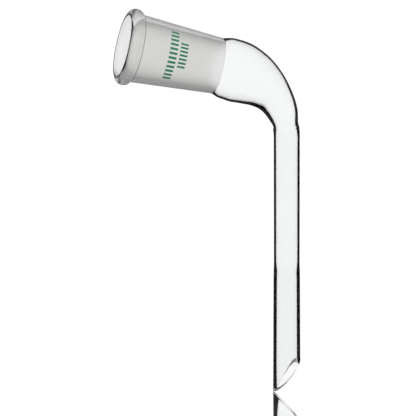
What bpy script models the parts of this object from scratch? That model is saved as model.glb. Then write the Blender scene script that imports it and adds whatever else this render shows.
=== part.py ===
"""Bent glass adapter: a ground 24/40 socket, a reducing bend of 105 degrees and a long drip stem.

Everything follows one line, the axis of the passage. It starts at the centre of the mouth, which is
the origin, runs down the socket, round the bend and down the stem. +Z is up, the stem hangs straight
down, and the mouth looks towards -X and 15 degrees up. Sizes are in metres.

The real object is blown from blanks that are flame sealed end to end. Each blank is an object here,
and GAP stands where two of them are sealed.
"""

import math

import bmesh
import bpy
from mathutils import Matrix, Vector

GAP = 0.0003
SIDES = 40

# The line of the passage: straight down the socket, round the bend, straight down the stem. The
# corner is where the two straight runs would meet, and the handles set how fully the bend swings.
SOCKET_TILT = math.radians(15)
MOUTH_TO_CORNER = 0.0698
CORNER_TO_STEM = 0.0241
SOCKET_HANDLE = 0.0236
STEM_HANDLE = 0.0124

# The ground socket, standard taper 24/40: 24 mm wide at the mouth, 40 mm long, one in ten
JOINT_RADIUS = 0.012
JOINT_LENGTH = 0.040
JOINT_SLOPE = 0.05
BARREL_RADIUS = 0.0138
BARREL_END_RADIUS = 0.0114

# The bead round the mouth: a rounded lip with a narrow flat front, a level crown, a curved back
BEAD_LENGTH = 0.0055
BEAD_RADIUS = 0.0155
BEAD_CROWN_END = 0.0029
LIP_INNER_ROUND = 0.0014
LIP_OUTER_ROUND = 0.0015

# The reducing bend swells behind the socket and narrows to the stem. Each row is a place along the
# bend from 0 to 1, the radius, and the wall outside and inside the curve, where the glass gathers.
BEND_PROFILE = (
    (0.00, BARREL_END_RADIUS, 0.00140, 0.00140),
    (0.06, 0.01242, 0.00095, 0.00105),
    (0.13, 0.01255, 0.00080, 0.00100),
    (0.25, 0.01145, 0.00075, 0.00110),
    (0.40, 0.00931, 0.00075, 0.00130),
    (0.55, 0.00749, 0.00080, 0.00155),
    (0.70, 0.00641, 0.00085, 0.00150),
    (0.85, 0.00543, 0.00095, 0.00110),
    (1.00, 0.00535, 0.00095, 0.00095),
)
BEND_SEAL_AT = 0.88

# The stem and its drip tip, which is a slightly wider tube that widens a little to its slanted end
STEM_RADIUS = 0.00535
STEM_WALL = 0.00095
TIP_SEAL_BELOW_CORNER = 0.0800
TIP_SEAL_SPREAD = 0.0018
TIP_TOP_RADIUS = 0.00550
TIP_RADIUS = 0.00578
TIP_WALL = 0.0014
TIP_BELOW_CORNER = 0.1342
TIP_SLANT = math.radians(50)

# The two fired marks, as distances from the mouth and turns from the side that faces -Y
ENAMEL_THICKNESS = 0.0002
LONG_ROW = (0.0165, 0.0198, math.radians(-36), math.radians(57))
SHORT_ROW = (0.0208, 0.0240, math.radians(-9), math.radians(37))

DOWN_SOCKET = Vector((math.cos(SOCKET_TILT), 0, -math.sin(SOCKET_TILT)))
SIDEWAYS = Vector((0, 1, 0))
DOWN = Vector((0, 0, -1))
CORNER = DOWN_SOCKET * MOUTH_TO_CORNER


def clear_scene():
    for obj in list(bpy.data.objects):
        bpy.data.objects.remove(obj, do_unlink=True)


def make_material(name, colour, roughness, transmission=0.0):
    material = bpy.data.materials.new(name)
    material.use_nodes = True
    shader = material.node_tree.nodes["Principled BSDF"]
    shader.inputs["Base Color"].default_value = (*colour, 1)
    shader.inputs["Roughness"].default_value = roughness
    shader.inputs["Metallic"].default_value = 0
    shader.inputs["IOR"].default_value = 1.47
    shader.inputs["Transmission Weight"].default_value = transmission
    return material


def spread(first, last, steps):
    return [first + (last - first) * i / steps for i in range(steps + 1)]


def joint_radius(distance):
    """The ground bore at a distance from the mouth."""
    return JOINT_RADIUS - JOINT_SLOPE * distance


def barrel_radius(distance):
    """The outside of the barrel at a distance from the mouth."""
    share = (distance - BEAD_LENGTH) / (JOINT_LENGTH - BEAD_LENGTH)
    return BARREL_RADIUS + (BARREL_END_RADIUS - BARREL_RADIUS) * share


def on_bend(u):
    """The point and the direction of the passage at u, from 0 at the socket to 1 at the stem."""
    a = DOWN_SOCKET * JOINT_LENGTH
    b = a + DOWN_SOCKET * SOCKET_HANDLE
    d = CORNER + DOWN * CORNER_TO_STEM
    c = d - DOWN * STEM_HANDLE
    v = 1 - u
    point = a * v**3 + b * (3 * v * v * u) + c * (3 * v * u * u) + d * u**3
    way = (b - a) * v * v + (c - b) * (2 * v * u) + (d - c) * u * u
    return point, way.normalized()


def bend_section(u):
    """The radius and the two walls at u, on curves that don't swing past the profile's rows."""
    places = [row[0] for row in BEND_PROFILE]
    spans = [there - here for here, there in zip(places, places[1:])]
    k = max(i for i in range(len(spans)) if places[i] <= u)
    span = spans[k]
    s = (u - places[k]) / span
    values = []
    for column in (1, 2, 3):
        heights = [row[column] for row in BEND_PROFILE]
        slopes = [(heights[i + 1] - heights[i]) / spans[i] for i in range(len(spans))]
        slopes = [slopes[0]] + slopes + [slopes[-1]]
        leaving, arriving = (even_slope(slopes[i], slopes[i + 1]) for i in (k, k + 1))
        values.append(
            heights[k] * (1 + 2 * s) * (1 - s) ** 2
            + heights[k + 1] * (3 - 2 * s) * s * s
            + leaving * span * s * (1 - s) ** 2
            - arriving * span * s * s * (1 - s)
        )
    return values


def even_slope(before, after):
    return 0 if before * after <= 0 else 2 * before * after / (before + after)


def across(way):
    """The direction square to the passage in the plane of the bend, towards its outside."""
    return way.cross(SIDEWAYS).normalized()


def ring(bm, centre, way, radius):
    """A circle of vertices square to the passage. Its first vertex lies in the plane of the bend."""
    turn = Matrix((across(way), SIDEWAYS, way)).transposed().to_4x4()
    place = Matrix.Translation(centre) @ turn
    return bmesh.ops.create_circle(bm, segments=SIDES, radius=radius, matrix=place)["verts"]


def close_tube(bm, rings):
    """Joins each ring to the next and the last to the first, which gives a tube with a wall."""
    for here, there in zip(rings, rings[1:] + rings[:1]):
        for i in range(SIDES):
            j = (i + 1) % SIDES
            bm.faces.new((here[i], here[j], there[j], there[i]))


def add_object(name, bm, material):
    bmesh.ops.recalc_face_normals(bm, faces=bm.faces)
    mesh = bpy.data.meshes.new(name)
    bm.to_mesh(mesh)
    bm.free()
    mesh.shade_smooth()
    mesh.set_sharp_from_angle(angle=math.radians(35))
    mesh.materials.append(material)
    obj = bpy.data.objects.new(name, mesh)
    bpy.context.scene.collection.objects.link(obj)


def turned(name, outline, material):
    """A ring turned about the socket's axis from an outline of (distance, radius) points."""
    bm = bmesh.new()
    rings = [ring(bm, DOWN_SOCKET * distance, DOWN_SOCKET, radius) for distance, radius in outline]
    close_tube(bm, rings)
    add_object(name, bm, material)


def corner_arc(centre, reach, start, end, steps):
    """Points of (distance, radius) on a rounded corner, between two angles."""
    angles = spread(start, end, steps)
    return [(centre[0] + reach[0] * math.cos(a), centre[1] + reach[1] * math.sin(a)) for a in angles]


def mouth_bead(material):
    quarter = math.pi / 2
    back = BEAD_LENGTH - GAP / 2
    inner_centre = (LIP_INNER_ROUND, joint_radius(LIP_INNER_ROUND) + LIP_INNER_ROUND)
    outer_centre = (LIP_OUTER_ROUND, BEAD_RADIUS - LIP_OUTER_ROUND)
    back_reach = (back - BEAD_CROWN_END, BEAD_RADIUS - BARREL_RADIUS)
    outline = [(back, joint_radius(back))]
    outline += corner_arc(inner_centre, (LIP_INNER_ROUND,) * 2, 3 * quarter, 2 * quarter, 4)
    outline += corner_arc(outer_centre, (LIP_OUTER_ROUND,) * 2, 2 * quarter, quarter, 4)
    outline += corner_arc((BEAD_CROWN_END, BARREL_RADIUS), back_reach, quarter, 0, 6)
    turned("mouth_bead", outline, material)


def ground_barrel(material):
    """The tapered barrel. Its bore is the ground surface that the mating cone seats on."""
    front = BEAD_LENGTH + GAP / 2
    back = JOINT_LENGTH - GAP / 2
    outline = [(front, joint_radius(front)), (front, barrel_radius(front))]
    outline += [(back, barrel_radius(back)), (back, joint_radius(back))]
    turned("ground_barrel", outline, material)


def tube_rings(bm, stations):
    """Outer rings down the passage, then bore rings back. The bore sits off centre in the bend."""
    outside = []
    bore = []
    for (centre, way), (radius, outer_wall, inner_wall) in stations:
        outside.append(ring(bm, centre, way, radius))
        shift = across(way) * ((inner_wall - outer_wall) / 2)
        bore.append(ring(bm, centre + shift, way, radius - (inner_wall + outer_wall) / 2))
    return outside + bore[::-1]


def reducing_bend(material):
    first = GAP / 2 / (3 * SOCKET_HANDLE)
    last = BEND_SEAL_AT - GAP / 2 / (3 * STEM_HANDLE)
    swell = BEND_PROFILE[2][0]
    places = spread(first, swell, 5) + spread(swell, last, 17)[1:]
    bm = bmesh.new()
    close_tube(bm, tube_rings(bm, [(on_bend(u), bend_section(u)) for u in places]))
    add_object("reducing_bend", bm, material)


def stem_tube(material):
    """The upper stem, from the end of the curve down to where the drip tip is sealed on."""
    first = BEND_SEAL_AT + GAP / 2 / (3 * STEM_HANDLE)
    end = CORNER + DOWN * (TIP_SEAL_BELOW_CORNER - GAP / 2)
    stations = [(on_bend(u), bend_section(u)) for u in spread(first, 1, 3)]
    stations.append(((end, DOWN), (STEM_RADIUS, STEM_WALL, STEM_WALL)))
    bm = bmesh.new()
    close_tube(bm, tube_rings(bm, stations))
    add_object("stem_tube", bm, material)


def drip_tip(material):
    """The lower stem. Its end slants, so that the last drop hangs from the side towards -X."""
    start = CORNER + DOWN * (TIP_SEAL_BELOW_CORNER + GAP / 2)
    spread_end = start + DOWN * TIP_SEAL_SPREAD
    end = CORNER + DOWN * TIP_BELOW_CORNER
    stations = [
        ((start, DOWN), (STEM_RADIUS, STEM_WALL, STEM_WALL)),
        ((spread_end, DOWN), (TIP_TOP_RADIUS, TIP_WALL, TIP_WALL)),
        ((end, DOWN), (TIP_RADIUS, TIP_WALL, TIP_WALL)),
    ]
    bm = bmesh.new()
    rings = tube_rings(bm, stations)
    for vertex in rings[2] + rings[3]:
        vertex.co.z += (vertex.co.x - (end.x - TIP_RADIUS)) * math.tan(TIP_SLANT)
    close_tube(bm, rings)
    add_object("drip_tip", bm, material)


def enamel_row(name, row, material):
    """A thin curved plate on the barrel, as large as the fired mark."""
    start, end, low, high = row
    outside = across(DOWN_SOCKET)
    bm = bmesh.new()
    sections = []
    for turn in spread(low, high, 16):
        outwards = outside * math.sin(turn) - SIDEWAYS * math.cos(turn)
        corners = []
        for distance, lift in ((start, 0), (end, 0), (end, 1), (start, 1)):
            radius = barrel_radius(distance) + GAP + ENAMEL_THICKNESS * lift
            corners.append(bm.verts.new(DOWN_SOCKET * distance + outwards * radius))
        sections.append(corners)
    for here, there in zip(sections, sections[1:]):
        for i in range(4):
            j = (i + 1) % 4
            bm.faces.new((here[i], here[j], there[j], there[i]))
    bm.faces.new(sections[0])
    bm.faces.new(sections[-1])
    add_object(name, bm, material)


def build():
    clear_scene()
    clear = make_material("clear_glass", (0.96, 0.97, 0.97), 0.02, transmission=1.0)
    ground = make_material("ground_glass", (0.82, 0.82, 0.81), 0.5, transmission=1.0)
    green = make_material("green_enamel", (0.02, 0.24, 0.10), 0.45)
    mouth_bead(clear)
    ground_barrel(ground)
    reducing_bend(clear)
    stem_tube(clear)
    drip_tip(clear)
    enamel_row("enamel_row_long", LONG_ROW, green)
    enamel_row("enamel_row_short", SHORT_ROW, green)


build()
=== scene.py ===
"""Looks for the bent glass adapter: blown clear glass, a ground socket and two fired green marks.

The glass pieces run from the mouth, at the origin, down to the drip tip. They meet face to face at
the flame seals, where a clear cap lets light straight through, so the glass reads as one piece. All
sizes are in metres, and distances are taken from the mouth unless a name says otherwise.
"""

import math

import bmesh
import bpy
from mathutils import Matrix, Vector


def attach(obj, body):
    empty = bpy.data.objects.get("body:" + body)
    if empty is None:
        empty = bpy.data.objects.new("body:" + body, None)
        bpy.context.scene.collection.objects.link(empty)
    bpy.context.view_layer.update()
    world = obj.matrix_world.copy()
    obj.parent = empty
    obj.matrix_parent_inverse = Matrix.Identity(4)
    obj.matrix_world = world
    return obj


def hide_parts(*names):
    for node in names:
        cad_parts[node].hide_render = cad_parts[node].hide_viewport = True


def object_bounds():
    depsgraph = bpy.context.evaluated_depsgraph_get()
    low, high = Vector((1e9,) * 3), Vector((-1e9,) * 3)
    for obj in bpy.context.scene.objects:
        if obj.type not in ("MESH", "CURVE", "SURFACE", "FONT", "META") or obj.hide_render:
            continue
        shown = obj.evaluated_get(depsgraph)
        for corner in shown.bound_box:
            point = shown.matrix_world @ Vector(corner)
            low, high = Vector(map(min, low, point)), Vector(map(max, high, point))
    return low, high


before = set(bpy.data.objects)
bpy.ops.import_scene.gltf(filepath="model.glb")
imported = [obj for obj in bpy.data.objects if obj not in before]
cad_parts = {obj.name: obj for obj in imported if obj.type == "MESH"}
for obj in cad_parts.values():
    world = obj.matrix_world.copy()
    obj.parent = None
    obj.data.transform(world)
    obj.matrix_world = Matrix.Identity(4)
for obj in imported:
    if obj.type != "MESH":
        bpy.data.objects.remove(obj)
cad_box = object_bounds()

# How finely the pieces are divided: round the passage and along each stretch of it
SIDES = 160
BORE_STEPS = 6
LIP_INNER_STEPS = 14
LIP_OUTER_STEPS = 24
CREST_STEPS = 4
BACK_STEPS = 16
BARREL_STEPS = 23
BEND_STEPS = 150
SEAL_STEPS = 24
STEM_STEPS = 16
TIP_EDGE_STEPS = 4
BAR_STEPS = 6
SHARP_ANGLE = math.radians(35)

# The line of the passage: straight down the socket, round the bend and straight down the stem
SOCKET_TILT = math.radians(15)
MOUTH_TO_CORNER = 0.0698
CORNER_TO_STEM = 0.0241
SOCKET_HANDLE = 0.0236
STEM_HANDLE = 0.0124

# The ground joint tapers by one in ten on its diameter, inside a barrel that tapers a little more
JOINT_RADIUS = 0.012
JOINT_LENGTH = 0.040
JOINT_SLOPE = 0.05
BARREL_RADIUS = 0.0138
BARREL_END_RADIUS = 0.0114
BEAD_LENGTH = 0.0055
BEAD_RADIUS = 0.0155

# Rows along the bend, from 0 at the socket to 1 at the stem: the radius, then the wall on the outside
# and on the inside of the curve. The glass is pinched a little where it is sealed to the stem.
BEND_PROFILE = (
    (0.00, BARREL_END_RADIUS, 0.00140, 0.00140),
    (0.06, 0.01242, 0.00080, 0.00095),
    (0.13, 0.01255, 0.00078, 0.00090),
    (0.25, 0.01145, 0.00078, 0.00100),
    (0.40, 0.00931, 0.00080, 0.00125),
    (0.55, 0.00749, 0.00100, 0.00155),
    (0.70, 0.00641, 0.00115, 0.00150),
    (0.85, 0.00543, 0.00130, 0.00120),
    (1.00, 0.00535, 0.00095, 0.00095),
)
BEND_SEAL_AT = 0.88
BEND_PINCH = 0.00024
BEND_PINCH_SPAN = (0.74, 0.86, 0.868, 0.887)

# The stem, and the slightly wider and thicker tube that ends in the slanted tip
STEM_RADIUS = 0.00535
STEM_WALL = 0.00095
TIP_SEAL_BELOW_CORNER = 0.0800
TIP_SEAL_SPREAD = 0.0070
TIP_TOP_RADIUS = 0.00550
TIP_RADIUS = 0.00578
TIP_WALL = 0.0014
TIP_BELOW_CORNER = 0.1342
TIP_SLANT = math.radians(50)
TIP_SLANT_MARGIN = 0.001
TIP_EDGE = 0.00025

# The fire polished mouth: its lip rolls over from the bore to the crown of the bead
LIP_CREST_RADIUS = 0.01272
LIP_INNER_REACH = 0.0020
LIP_OUTER_REACH = 0.0029
# The width of the fine line of painted shade in the crease behind the bead
CREASE_SHADE_LENGTH = 0.00028
BEAD_CROWN_END = 0.0029

# The two fired marks: rows of plain bars on the side that faces -Y. Each row has its first and last
# distance from the mouth, its first and last turn round the barrel, and its number of bars.
BAR_THICKNESS = 0.00006
BAR_LIFT = 0.00002
BAR_SHARE = 0.5
LONG_ROW = (0.0165, 0.0198, math.radians(-36), math.radians(57), 12)
SHORT_ROW = (0.0208, 0.0240, math.radians(-9), math.radians(37), 7)

DOWN_SOCKET = Vector((math.cos(SOCKET_TILT), 0, -math.sin(SOCKET_TILT)))
SIDEWAYS = Vector((0, 1, 0))
DOWN = Vector((0, 0, -1))
CORNER = DOWN_SOCKET * MOUTH_TO_CORNER

# The faces of a glass piece take one of these material slots. ROLLED is the outside of the bead and of
# the barrel and the flat of the slanted end, EDGE is the inside of the lip, LIP its outside, and
# SHADE_LINE a fine dark line of painted shade, in the crease behind the bead, on the crest of the lip
# and on the rounded edges of the slanted end.
CLEAR, GROUND, SEAL, ROLLED, EDGE, SHADE_LINE, LIP = range(7)


def spread(first, last, steps):
    """Evenly spaced numbers from first to last, both included."""
    return [first + (last - first) * i / steps for i in range(steps + 1)]


def joint_radius(distance):
    """The ground bore at a distance from the mouth."""
    return JOINT_RADIUS - JOINT_SLOPE * distance


def barrel_radius(distance):
    """The outside of the barrel at a distance from the mouth."""
    share = (distance - BEAD_LENGTH) / (JOINT_LENGTH - BEAD_LENGTH)
    return BARREL_RADIUS + (BARREL_END_RADIUS - BARREL_RADIUS) * share


def on_bend(u):
    """The point and the direction of the passage at u, from 0 at the socket to 1 at the stem."""
    a = DOWN_SOCKET * JOINT_LENGTH
    b = a + DOWN_SOCKET * SOCKET_HANDLE
    d = CORNER + DOWN * CORNER_TO_STEM
    c = d - DOWN * STEM_HANDLE
    v = 1 - u
    point = a * v**3 + b * (3 * v * v * u) + c * (3 * v * u * u) + d * u**3
    way = (b - a) * v * v + (c - b) * (2 * v * u) + (d - c) * u * u
    return point, way.normalized()


def ease(value, low, high):
    """A smooth step from 0 at low to 1 at high."""
    share = min(max((value - low) / (high - low), 0), 1)
    return share * share * (3 - 2 * share)


def even_slope(before, after):
    """The slope through a row of a profile: flat at a crest or a dip."""
    return 0 if before * after <= 0 else 2 * before * after / (before + after)


def bend_section(u):
    """The radius and the two walls at u, on curves that don't swing past the profile's rows."""
    places = [row[0] for row in BEND_PROFILE]
    spans = [there - here for here, there in zip(places, places[1:])]
    k = max(i for i in range(len(spans)) if places[i] <= u)
    span = spans[k]
    s = (u - places[k]) / span
    values = []
    for column in (1, 2, 3):
        heights = [row[column] for row in BEND_PROFILE]
        slopes = [(heights[i + 1] - heights[i]) / spans[i] for i in range(len(spans))]
        slopes = [slopes[0]] + slopes + [slopes[-1]]
        leaving, arriving = (even_slope(slopes[i], slopes[i + 1]) for i in (k, k + 1))
        values.append(
            heights[k] * (1 + 2 * s) * (1 - s) ** 2
            + heights[k + 1] * (3 - 2 * s) * s * s
            + leaving * span * s * (1 - s) ** 2
            - arriving * span * s * s * (1 - s)
        )
    start, full, still, end = BEND_PINCH_SPAN
    pinch = BEND_PINCH * ease(u, start, full) * (1 - ease(u, still, end))
    return values[0] - pinch, values[1], values[2]


def across(way):
    """The direction square to the passage in the plane of the bend, towards its outside."""
    return way.cross(SIDEWAYS).normalized()


def ring(bm, centre, way, radius):
    """A circle of vertices square to the passage."""
    turn = Matrix((across(way), SIDEWAYS, way)).transposed().to_4x4()
    place = Matrix.Translation(centre) @ turn
    return bmesh.ops.create_circle(bm, segments=SIDES, radius=radius, matrix=place)["verts"]


def close_tube(bm, rings, slots):
    """Joins each ring to the next and the last to the first. Each band takes its slot's material."""
    for here, there, slot in zip(rings, rings[1:] + rings[:1], slots):
        for i in range(SIDES):
            j = (i + 1) % SIDES
            bm.faces.new((here[i], here[j], there[j], there[i])).material_index = slot


def add_piece(name, bm, materials, replaced):
    """Makes the piece, which rides with the object and stands for the node that it replaces."""
    bmesh.ops.recalc_face_normals(bm, faces=bm.faces)
    mesh = bpy.data.meshes.new(name)
    bm.to_mesh(mesh)
    bm.free()
    mesh.shade_smooth()
    mesh.set_sharp_from_angle(angle=SHARP_ANGLE)
    for material in materials:
        mesh.materials.append(material)
    piece = bpy.data.objects.new(name, mesh)
    bpy.context.scene.collection.objects.link(piece)
    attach(piece, "root")
    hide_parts(replaced)
    return piece


def corner_arc(centre, reach, start, end, steps):
    """Points of (distance, radius) on a rounded corner, between two angles."""
    angles = spread(start, end, steps)
    return [(centre[0] + reach[0] * math.cos(a), centre[1] + reach[1] * math.sin(a)) for a in angles]


def turned(bm, outline):
    """Rings about the socket's axis, one for each (distance, radius)."""
    return [ring(bm, DOWN_SOCKET * distance, DOWN_SOCKET, radius) for distance, radius in outline]


def mouth_bead(glass):
    """The tooled mouth: a ground bore, a fire polished lip that rolls over it, and a rounded bead."""
    quarter = math.pi / 2
    bore = [(t, joint_radius(t)) for t in spread(BEAD_LENGTH, LIP_INNER_REACH, BORE_STEPS)]
    inner_centre = (LIP_INNER_REACH, LIP_CREST_RADIUS)
    inner_reach = (LIP_INNER_REACH, LIP_CREST_RADIUS - joint_radius(LIP_INNER_REACH))
    lip = corner_arc(inner_centre, inner_reach, 3 * quarter, 2 * quarter, LIP_INNER_STEPS)[1:]
    outer_centre = (LIP_OUTER_REACH, LIP_CREST_RADIUS)
    outer_reach = (LIP_OUTER_REACH, BEAD_RADIUS - LIP_CREST_RADIUS)
    lip += corner_arc(outer_centre, outer_reach, 2 * quarter, quarter, LIP_OUTER_STEPS)[1:]
    back_reach = (BEAD_LENGTH - BEAD_CROWN_END, BEAD_RADIUS - BARREL_RADIUS)
    back = corner_arc((BEAD_CROWN_END, BARREL_RADIUS), back_reach, quarter, 0, BACK_STEPS)[1:]
    bm = bmesh.new()
    rings = turned(bm, bore + lip + back)
    slots = (
        [GROUND] * (len(bore) - 1)
        + [EDGE] * (LIP_INNER_STEPS - CREST_STEPS)
        # The crest of the lip takes a fine dark line of painted shade
        + [SHADE_LINE] * (2 * CREST_STEPS)
        + [LIP] * (LIP_OUTER_STEPS - CREST_STEPS)
        + [ROLLED] * len(back)
        + [SEAL]
    )
    close_tube(bm, rings, slots)
    return add_piece("mouth_bead_glass", bm, glass, "mouth_bead")


def ground_barrel(glass):
    """The tapered barrel, smooth outside and ground inside, with a fine line of painted shade in the
    crease behind the bead.
    """
    places = [BEAD_LENGTH] + spread(BEAD_LENGTH + CREASE_SHADE_LENGTH, JOINT_LENGTH, BARREL_STEPS)
    bm = bmesh.new()
    outside = [(t, barrel_radius(t)) for t in places]
    bore = [(t, joint_radius(t)) for t in places[::-1]]
    # The first band behind the bead is a fine dark line of painted shade
    slots = [SHADE_LINE] + [ROLLED] * BARREL_STEPS + [SEAL] + [GROUND] * (BARREL_STEPS + 1) + [SEAL]
    close_tube(bm, turned(bm, outside + bore), slots)
    return add_piece("ground_barrel_glass", bm, glass, "ground_barrel")


def tube_rings(bm, stations):
    """Outer rings down the passage, then bore rings back. The bore sits off centre in the bend."""
    outside = []
    bore = []
    for (centre, way), (radius, outer_wall, inner_wall) in stations:
        outside.append(ring(bm, centre, way, radius))
        shift = across(way) * ((inner_wall - outer_wall) / 2)
        bore.append(ring(bm, centre + shift, way, radius - (inner_wall + outer_wall) / 2))
    return outside + bore[::-1]


def tube_slots(stations):
    """Clear walls, with a seal at each end."""
    wall = [CLEAR] * (len(stations) - 1)
    return wall + [SEAL] + wall + [SEAL]


def reducing_bend(glass):
    """The shoulder, which swells behind the socket, then bends and narrows to the stem."""
    stations = [(on_bend(u), bend_section(u)) for u in spread(0, BEND_SEAL_AT, BEND_STEPS)]
    bm = bmesh.new()
    close_tube(bm, tube_rings(bm, stations), tube_slots(stations))
    return add_piece("reducing_bend_glass", bm, glass, "reducing_bend")


def stem_section(depth):
    """The radius and the two equal walls at a depth below the corner. They grow over the seal."""
    reach = TIP_SEAL_SPREAD / 2
    share = ease(depth, TIP_SEAL_BELOW_CORNER - reach, TIP_SEAL_BELOW_CORNER + reach)
    wall = STEM_WALL + (TIP_WALL - STEM_WALL) * share
    radius = STEM_RADIUS + (TIP_TOP_RADIUS - STEM_RADIUS) * share
    widening = max(depth - TIP_SEAL_BELOW_CORNER, 0) / (TIP_BELOW_CORNER - TIP_SEAL_BELOW_CORNER)
    return radius + (TIP_RADIUS - TIP_TOP_RADIUS) * widening, wall, wall


def stem_stations(depths):
    """The places and the sections of the straight stem at these depths."""
    return [((CORNER + DOWN * depth, DOWN), stem_section(depth)) for depth in depths]


def stem_tube(glass):
    """The thin walled stem, from the bend's seal down to the drip tip's."""
    spread_start = TIP_SEAL_BELOW_CORNER - TIP_SEAL_SPREAD
    stations = [(on_bend(u), bend_section(u)) for u in spread(BEND_SEAL_AT, 1, SEAL_STEPS)]
    stations += stem_stations(spread(CORNER_TO_STEM, spread_start, STEM_STEPS)[1:])
    stations += stem_stations(spread(spread_start, TIP_SEAL_BELOW_CORNER, STEM_STEPS)[1:])
    bm = bmesh.new()
    close_tube(bm, tube_rings(bm, stations), tube_slots(stations))
    return add_piece("stem_tube_glass", bm, glass, "stem_tube")


def drip_tip(glass):
    """The lower stem, which widens past its seal and ends in a slant with fire polished edges."""
    spread_end = TIP_SEAL_BELOW_CORNER + TIP_SEAL_SPREAD
    slant_start = TIP_BELOW_CORNER - 2 * TIP_RADIUS * math.tan(TIP_SLANT) - TIP_SLANT_MARGIN
    stations = stem_stations(spread(TIP_SEAL_BELOW_CORNER, spread_end, STEM_STEPS))
    stations += stem_stations(spread(spread_end, slant_start, STEM_STEPS)[1:])
    bm = bmesh.new()
    walls = tube_rings(bm, stations)
    edge = [
        (TIP_EDGE * (1 - math.cos(angle)), TIP_EDGE * (1 - math.sin(angle)))
        for angle in spread(0, math.pi / 2, TIP_EDGE_STEPS)
    ]
    edge += [(TIP_WALL - inset, lift) for inset, lift in edge[::-1]]
    end = []
    for inset, lift in edge:
        circle = ring(bm, CORNER + DOWN * (TIP_BELOW_CORNER - lift), DOWN, TIP_RADIUS - inset)
        for vertex in circle:
            vertex.co.z += (vertex.co.x - (CORNER.x - TIP_RADIUS)) * math.tan(TIP_SLANT)
        end.append(circle)
    last = len(stations)
    rings = walls[:last] + end + walls[last:]
    wall = [CLEAR] * last
    # The middle of each rounded edge of the slant is a fine dark line of painted shade
    rounding = [CLEAR] + [SHADE_LINE] * (TIP_EDGE_STEPS - 2) + [CLEAR]
    slots = wall + rounding + [ROLLED] + rounding + wall + [SEAL]
    close_tube(bm, rings, slots)
    return add_piece("drip_tip_glass", bm, glass, "drip_tip")


def enamel_row(name, row, material, replaced):
    """Equal bars side by side round the barrel, each a thin raised coat of enamel."""
    start, end, low, high, count = row
    outside = across(DOWN_SOCKET)
    pitch = (high - low) / (count - 1 + BAR_SHARE)
    bm = bmesh.new()
    for k in range(count):
        sections = []
        for turn in spread(low + pitch * k, low + pitch * (k + BAR_SHARE), BAR_STEPS):
            outwards = outside * math.sin(turn) - SIDEWAYS * math.cos(turn)
            corners = []
            for distance, lift in ((start, 0), (end, 0), (end, 1), (start, 1)):
                radius = barrel_radius(distance) + BAR_LIFT + BAR_THICKNESS * lift
                corners.append(bm.verts.new(DOWN_SOCKET * distance + outwards * radius))
            sections.append(corners)
        for here, there in zip(sections, sections[1:]):
            for i in range(4):
                j = (i + 1) % 4
                bm.faces.new((here[i], here[j], there[j], there[i]))
        bm.faces.new(sections[0])
        bm.faces.new(sections[-1])
    return add_piece(name, bm, [material], replaced)


GLASS_IOR = 1.47

# Clear glass: a faint cool tint that varies along the piece, the shares of mirrored light between
# which it counts as turned back inside the wall or as grazing the outside, and its plain reflections
TINT_SCALE = 60
TINT_DEPTH = 0.010
TINT_COOLNESS = 0.003
TURNED_BACK = (0.90, 0.99)
GRAZING = (0.30, 0.80)
INSIDE_REFLECTION = 0.9
OUTSIDE_REFLECTION = 0.06

# Ground glass: fine rings about the socket's axis, on a matt that scatters what comes through
GRINDING_SCALE = 2600
GRINDING_STRETCH = (1, 0.04, 0.04)
GRINDING_CONTRAST = (0.3, 0.7)
GROUND_TINTS = ((0.825, 0.825, 0.815), (0.855, 0.855, 0.845))
GROUND_ROUGHNESS = 0.5
GROUND_REFLECTION = 0.7
GROUND_WARMTH = 0.99
GROUND_SHINE_ROUGHNESS = 0.3

ENAMEL_SCALE = 1500
ENAMEL_DETAIL = 3
ENAMEL_GREENS = ((0.003, 0.15, 0.06), (0.004, 0.19, 0.08))
ENAMEL_ROUGHNESS = 0.5


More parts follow.
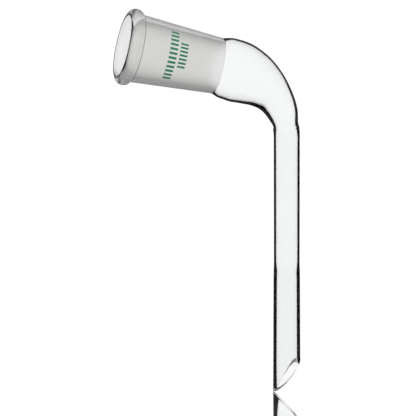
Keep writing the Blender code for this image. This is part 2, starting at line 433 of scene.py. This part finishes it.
class Nodes:
    """A material's node tree, built by short calls."""

    def __init__(self, name):
        self.material = bpy.data.materials.new(name)
        self.material.use_nodes = True
        self.tree = self.material.node_tree
        self.tree.nodes.clear()

    def add(self, kind, settings=None, **sockets):
        """A node with settings and sockets, each a value or another node's socket."""
        node = self.tree.nodes.new(kind)
        for key, value in (settings or {}).items():
            setattr(node, key, value)
        for key, value in sockets.items():
            socket = node.inputs[key.replace("_", " ")]
            if isinstance(value, bpy.types.NodeSocket):
                self.tree.links.new(value, socket)
            else:
                socket.default_value = value
        return node

    def ramp(self, value, span, result=(0, 1), smooth=True):
        """Maps value from the span's two ends to the result's two ends."""
        node = self.tree.nodes.new("ShaderNodeMapRange")
        node.interpolation_type = "SMOOTHSTEP" if smooth else "LINEAR"
        self.tree.links.new(value, node.inputs["Value"])
        for key, number in zip(("From Min", "From Max", "To Min", "To Max"), (*span, *result)):
            node.inputs[key].default_value = number
        return node.outputs["Result"]

    def mix(self, factor, a, b):
        """A colour between a and b, each a colour or another node's socket."""
        node = self.tree.nodes.new("ShaderNodeMix")
        node.data_type = "RGBA"
        self.tree.links.new(factor, node.inputs[0])
        for socket, value in ((node.inputs[6], a), (node.inputs[7], b)):
            if isinstance(value, bpy.types.NodeSocket):
                self.tree.links.new(value, socket)
            else:
                socket.default_value = (*value, 1)
        return node.outputs[2]

    def blend(self, factor, first, second):
        """A shader between two others."""
        node = self.tree.nodes.new("ShaderNodeMixShader")
        self.tree.links.new(factor, node.inputs[0])
        self.tree.links.new(first, node.inputs[1])
        self.tree.links.new(second, node.inputs[2])
        return node.outputs[0]

    def noise(self, scale, detail=2.0, stretch=(1, 1, 1), turn=(0, 0, 0)):
        """Noise in the piece's own space, turned and then stretched."""
        place = self.add("ShaderNodeTexCoord").outputs["Object"]
        euler = {"rotation_type": "EULER_XYZ"}
        place = self.add("ShaderNodeVectorRotate", euler, Vector=place, Rotation=turn).outputs["Vector"]
        place = self.add("ShaderNodeMapping", Vector=place, Scale=stretch).outputs["Vector"]
        return self.add("ShaderNodeTexNoise", Vector=place, Scale=scale, Detail=detail).outputs["Fac"]

    def mirrored(self):
        """The share of light that the glass surface reflects, and whether it is seen from inside."""
        share = self.add("ShaderNodeFresnel", IOR=GLASS_IOR).outputs["Fac"]
        return share, self.add("ShaderNodeNewGeometry").outputs["Backfacing"]

    def through(self, tint, roughness):
        """Light bent through the surface."""
        node = self.add("ShaderNodeBsdfRefraction", Color=tint, Roughness=roughness, IOR=GLASS_IOR)
        return node.outputs[0]

    def mirror(self, colour, roughness):
        """Light reflected by the surface, outside or inside the glass."""
        return self.add("ShaderNodeBsdfGlossy", Color=colour, Roughness=roughness).outputs[0]

    def straight(self, level):
        """Light that goes straight on, at this level."""
        return self.add("ShaderNodeBsdfTransparent", Color=(level, level, level, 1)).outputs[0]

    def finish(self, shader):
        """The material, with this shader on its surface."""
        self.add("ShaderNodeOutputMaterial", Surface=shader)
        return self.material


def grey(level):
    """A colour with no hue."""
    return (level, level, level)


def clear_glass(name, kept, pale, shine, escape=0.0, passed=0.8):
    """Little of the light that is turned back inside a wall is kept, so the walls read as dark lines of
    painted shade.

    The tint is about as light as pale, and shine is the reflection at a grazing angle; where it is low,
    the outline darkens with painted shade. Where the glass is rolled thick, a share of the light that
    is turned back escapes instead and is passed on.
    """
    n = Nodes(name)
    mirrored, inside = n.mirrored()
    low = pale - TINT_DEPTH
    tint = n.mix(
        n.noise(TINT_SCALE),
        (low, low + TINT_COOLNESS, low + TINT_COOLNESS),
        (pale, pale + TINT_COOLNESS, pale + TINT_COOLNESS),
    )
    from_inside = n.mix(n.ramp(mirrored, TURNED_BACK), grey(INSIDE_REFLECTION), grey(kept))
    from_outside = n.mix(n.ramp(mirrored, GRAZING), grey(OUTSIDE_REFLECTION), grey(shine))
    mirror = n.mirror(n.mix(inside, from_outside, from_inside), 0.0)
    if escape:
        mirror = n.blend(n.ramp(mirrored, TURNED_BACK, (0, escape)), mirror, n.straight(passed))
    return n.finish(n.blend(mirrored, n.through(tint, 0.0), mirror))


def ground_glass(name, kept, share):
    """The ground bore: an even matt, with faint rings from the grinding."""
    n = Nodes(name)
    mirrored, inside = n.mirrored()
    rings = n.noise(GRINDING_SCALE, stretch=GRINDING_STRETCH, turn=(0, -SOCKET_TILT, 0))
    through = n.through(n.mix(n.ramp(rings, GRINDING_CONTRAST), *GROUND_TINTS), GROUND_ROUGHNESS)
    shine = n.mix(inside, grey(GROUND_REFLECTION), (kept, kept, kept * GROUND_WARMTH))
    mirror = n.mirror(shine, GROUND_SHINE_ROUGHNESS)
    return n.finish(n.blend(n.ramp(mirrored, (0, 1), (0, share), smooth=False), through, mirror))


def seal_face():
    """Where two pieces are flame sealed there is no surface: light goes straight on."""
    n = Nodes("flame_seal")
    return n.finish(n.straight(1))


def green_enamel():
    """Fired enamel, satin and a little uneven in its green."""
    n = Nodes("green_enamel")
    tint = n.mix(n.noise(ENAMEL_SCALE, ENAMEL_DETAIL), *ENAMEL_GREENS)
    shader = n.add("ShaderNodeBsdfPrincipled", Base_Color=tint, Roughness=ENAMEL_ROUGHNESS)
    return n.finish(shader.outputs["BSDF"])


# The floor is dull where it is seen from above, and mirrors the room where it is seen at a slant
FLOOR_HALF = 6.0
FLOOR_DROP = 0.0001
FLOOR_LEVEL = 0.43
FLOOR_SLANT = (0.35, 0.58)
FLOOR_GLOSS = (0.04, 0.96)
FLOOR_ROUGHNESS = 0.02


def floor():
    """A plain pale floor, just below the drip tip."""
    n = Nodes("floor")
    slant = n.add("ShaderNodeLayerWeight", Blend=0.5).outputs["Facing"]
    pale = n.add("ShaderNodeBsdfDiffuse", Color=(*grey(FLOOR_LEVEL), 1)).outputs["BSDF"]
    shine = n.mirror((*grey(1), 1), FLOOR_ROUGHNESS)
    material = n.finish(n.blend(n.ramp(slant, FLOOR_SLANT, FLOOR_GLOSS), pale, shine))
    height = cad_box[0].z - FLOOR_DROP
    bm = bmesh.new()
    corners = ((-1, -1), (1, -1), (1, 1), (-1, 1))
    bm.faces.new([bm.verts.new((x * FLOOR_HALF, y * FLOOR_HALF, height)) for x, y in corners])
    mesh = bpy.data.meshes.new("floor")
    bm.to_mesh(mesh)
    bm.free()
    mesh.materials.append(material)
    plane = bpy.data.objects.new("floor", mesh)
    bpy.context.scene.collection.objects.link(plane)


# The studio: soft light from all sides, rising to its brightest straight overhead
ROOM_LIGHT = 1.32
CEILING_LIGHT = 1.9
CEILING_START = 0.4


def room():
    """An even white room, which is all the light there is."""
    world = bpy.data.worlds.new("room")
    bpy.context.scene.world = world
    world.use_nodes = True
    tree = world.node_tree
    tree.nodes.clear()
    place = tree.nodes.new("ShaderNodeTexCoord").outputs["Generated"]
    split = tree.nodes.new("ShaderNodeSeparateXYZ")
    tree.links.new(place, split.inputs[0])
    rise = tree.nodes.new("ShaderNodeMapRange")
    tree.links.new(split.outputs["Z"], rise.inputs["Value"])
    rise.inputs["From Min"].default_value = CEILING_START
    rise.inputs["From Max"].default_value = 1.0
    rise.inputs["To Min"].default_value = ROOM_LIGHT
    rise.inputs["To Max"].default_value = CEILING_LIGHT
    background = tree.nodes.new("ShaderNodeBackground")
    tree.links.new(rise.outputs["Result"], background.inputs["Strength"])
    out = tree.nodes.new("ShaderNodeOutputWorld")
    tree.links.new(background.outputs[0], out.inputs["Surface"])
    bpy.context.scene.view_settings.view_transform = "Standard"


CAMERA_TARGET = CORNER + Vector((-0.033255, 0, -0.051727))
CAMERA_AZIMUTH = math.radians(11.309)
CAMERA_ELEVATION = math.radians(16.062)
CAMERA_ROLL = math.radians(-0.587)
CAMERA_DISTANCE = 0.900
CAMERA_LENS = 189.57
CAMERA_SENSOR = 36


def camera():
    """A long lens from a little above, turned a little towards the mouth."""
    sin, cos = math.sin, math.cos
    a, e, r = CAMERA_AZIMUTH, CAMERA_ELEVATION, CAMERA_ROLL
    back = Vector((-sin(a) * cos(e), -cos(a) * cos(e), sin(e)))
    right = Vector((cos(a), -sin(a), 0))
    up = back.cross(right)
    turned_right = right * cos(r) + up * sin(r)
    turned_up = up * cos(r) - right * sin(r)
    turn = Matrix((turned_right, turned_up, back)).transposed().to_4x4()
    data = bpy.data.cameras.new("camera")
    data.lens = CAMERA_LENS
    data.sensor_width = CAMERA_SENSOR
    view = bpy.data.objects.new("camera", data)
    view.matrix_world = Matrix.Translation(CAMERA_TARGET + back * CAMERA_DISTANCE) @ turn
    bpy.context.scene.collection.objects.link(view)
    bpy.context.scene.camera = view


def with_slot(materials, slot, material):
    """The same materials, with another in this slot."""
    return materials[:slot] + [material] + materials[slot + 1 :]


def build():
    """The camera, the studio, and the pieces from the mouth to the tip."""
    camera()
    room()
    floor()
    # One material for each slot, from CLEAR to LIP
    glass = [
        # Clear walls keep little of their turned back light, so their dark wall lines are painted shade
        clear_glass("clear_glass", kept=0.01, pale=0.988, shine=0.10),
        ground_glass("ground_glass", kept=0.8, share=0.8),
        seal_face(),
        clear_glass("rolled_glass", kept=0.98, pale=0.988, shine=0.9, escape=0.3),
        # The inside of the lip: ground glass whose reflection inside the glass is kept dark, as painted
        # shade
        ground_glass("ground_edge_and_shade", kept=0.06, share=1),
        # A dark tinted glass: painted shade for the fine dark lines
        clear_glass("shade_line_glass", kept=0.1, pale=0.26, shine=0.35),
        clear_glass("lip_glass", kept=0.98, pale=0.995, shine=0.1, escape=0.95, passed=0.98),
    ]
    bead_glass = clear_glass("bead_glass", kept=0.98, pale=0.955, shine=0.9, escape=0.3)
    bend_glass = clear_glass("bend_glass", kept=0.02, pale=0.997, shine=0.10)
    tip_glass = clear_glass("tip_glass", kept=0.01, pale=0.979, shine=0.10)
    mouth_bead(with_slot(glass, ROLLED, bead_glass))
    ground_barrel(glass)
    reducing_bend(with_slot(glass, CLEAR, bend_glass))
    stem_tube(glass)
    drip_tip(with_slot(glass, CLEAR, tip_glass))
    green = green_enamel()
    enamel_row("enamel_bars_long", LONG_ROW, green, "enamel_row_long")
    enamel_row("enamel_bars_short", SHORT_ROW, green, "enamel_row_short")


build()
